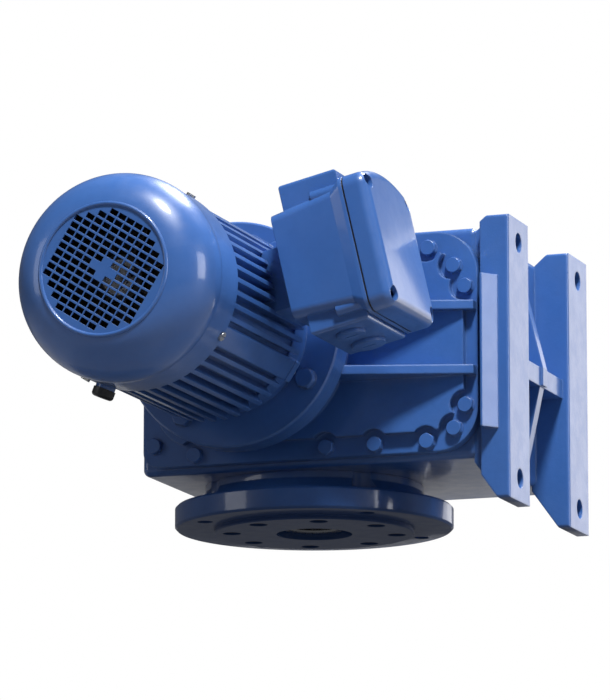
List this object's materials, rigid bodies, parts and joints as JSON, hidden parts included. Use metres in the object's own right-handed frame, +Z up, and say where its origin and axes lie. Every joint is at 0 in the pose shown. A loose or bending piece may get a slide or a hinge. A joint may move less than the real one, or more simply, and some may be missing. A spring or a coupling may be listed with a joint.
{
  "type": "helical-worm gearmotor",
  "caption": "Foot- and flange-mounted helical-worm gearmotor: block gear case, vertical hollow output shaft, finned motor with domed fan cowl and terminal box.",
  "frame": {"origin": "centre of the output flange's mounting face, on the output shaft axis", "axes": "+Z up the hollow output shaft, +X out of the feet, and the motor points along -Y"},
  "size_m": [0.3568, 0.6215, 0.27],
  "materials": {
    "blue_paint": "semi-gloss enamel over cast and machined metal",
    "gasket_paper": "thin fibre gasket",
    "plug_plastic": "moulded blanking plug",
    "black_steel": "black oxide screws",
    "seal_rubber": "matte",
    "stud_brass": "brass studs and nuts",
    "plated_steel": "zinc-plated screws and fittings",
    "bearing_steel": "polished bearing steel",
    "bare_iron": "turned grey iron",
    "lamination": "stacked electrical sheet",
    "copper_winding": "varnished copper winding ends",
    "terminal_moulding": "moulded terminal block",
    "ground_steel": "ground or hobbed steel",
    "rotor_alloy": "cast aluminium cage on sheet steel",
    "fan_plastic": "moulded plastic",
    "bronze": "cast tin bronze"
  },
  "bodies": {
    "housing": {"gear_housing": "blue_paint", "input_cover": "blue_paint", "input_cover_gasket": "gasket_paper", "input_cover_screws": "blue_paint", "side_cover": "blue_paint", "side_cover_gasket": "gasket_paper", "side_cover_screws": "blue_paint", "worm_end_cover": "blue_paint", "worm_end_screws": "blue_paint", "roof_cover": "blue_paint", "roof_cover_screws": "blue_paint", "shaft_cap": "plug_plastic", "output_flange": "blue_paint", "output_flange_screws": "black_steel", "output_seals": "seal_rubber", "input_seal": "seal_rubber", "breather_valve": "stud_brass", "oil_plugs": "plated_steel", "output_bearing_outer_rings": "bearing_steel", "worm_bearing_outer_rings": "bearing_steel", "motor_bearing_outer_rings": "bearing_steel", "motor_housing": "blue_paint", "drive_end_shield": "blue_paint", "rear_end_shield": "bare_iron", "shield_screws": "plated_steel", "motor_flange_bolts": "blue_paint", "stator_core": "lamination", "stator_windings": "copper_winding", "fan_cowl": "blue_paint", "cowl_screws": "plated_steel", "terminal_box": "blue_paint", "terminal_box_lid": "blue_paint", "lid_gasket": "seal_rubber", "lid_screws": "plated_steel", "terminal_block": "terminal_moulding", "terminal_studs": "stud_brass", "cable_entry_plugs": "blue_paint", "drain_plug": "plug_plastic"},
    "rotor": {"rotor_shaft": "ground_steel", "motor_pinion": "ground_steel", "rotor_core": "rotor_alloy", "cooling_fan": "fan_plastic", "fan_circlip": "ground_steel", "motor_bearing_inner_rings": "bearing_steel", "motor_bearing_balls": "bearing_steel"},
    "worm": {"worm_shaft": "ground_steel", "helical_gear": "ground_steel", "gear_key": "ground_steel", "worm_locknut": "black_steel", "worm_bearing_inner_rings": "bearing_steel", "worm_bearing_balls": "bearing_steel"},
    "output": {"hollow_output_shaft": "ground_steel", "worm_wheel_rim": "bronze", "worm_wheel_hub": "bare_iron", "wheel_key": "ground_steel", "rim_screws": "black_steel", "shaft_spacers": "ground_steel", "output_bearing_inner_rings": "bearing_steel", "output_bearing_balls": "bearing_steel"}
  },
  "joints": [
    {"name": "rotor_spin", "type": "hinge", "parent": "housing", "child": "rotor", "pos_m": [-0.01, -0.3, 0.145], "axis": [0, -1, 0], "continuous": true},
    {"name": "worm_spin", "type": "hinge", "parent": "housing", "child": "worm", "pos_m": [0.09, 0, 0.13], "axis": [0, -1, 0], "continuous": true},
    {"name": "output_spin", "type": "hinge", "parent": "housing", "child": "output", "pos_m": [0, 0, 0.13], "axis": [0, 0, 1], "continuous": true}
  ],
  "couplings": [
    {"joint": "worm_spin", "follows": "rotor_spin", "ratio": -0.34722},
    {"joint": "output_spin", "follows": "rotor_spin", "ratio": -0.017806}
  ]
}
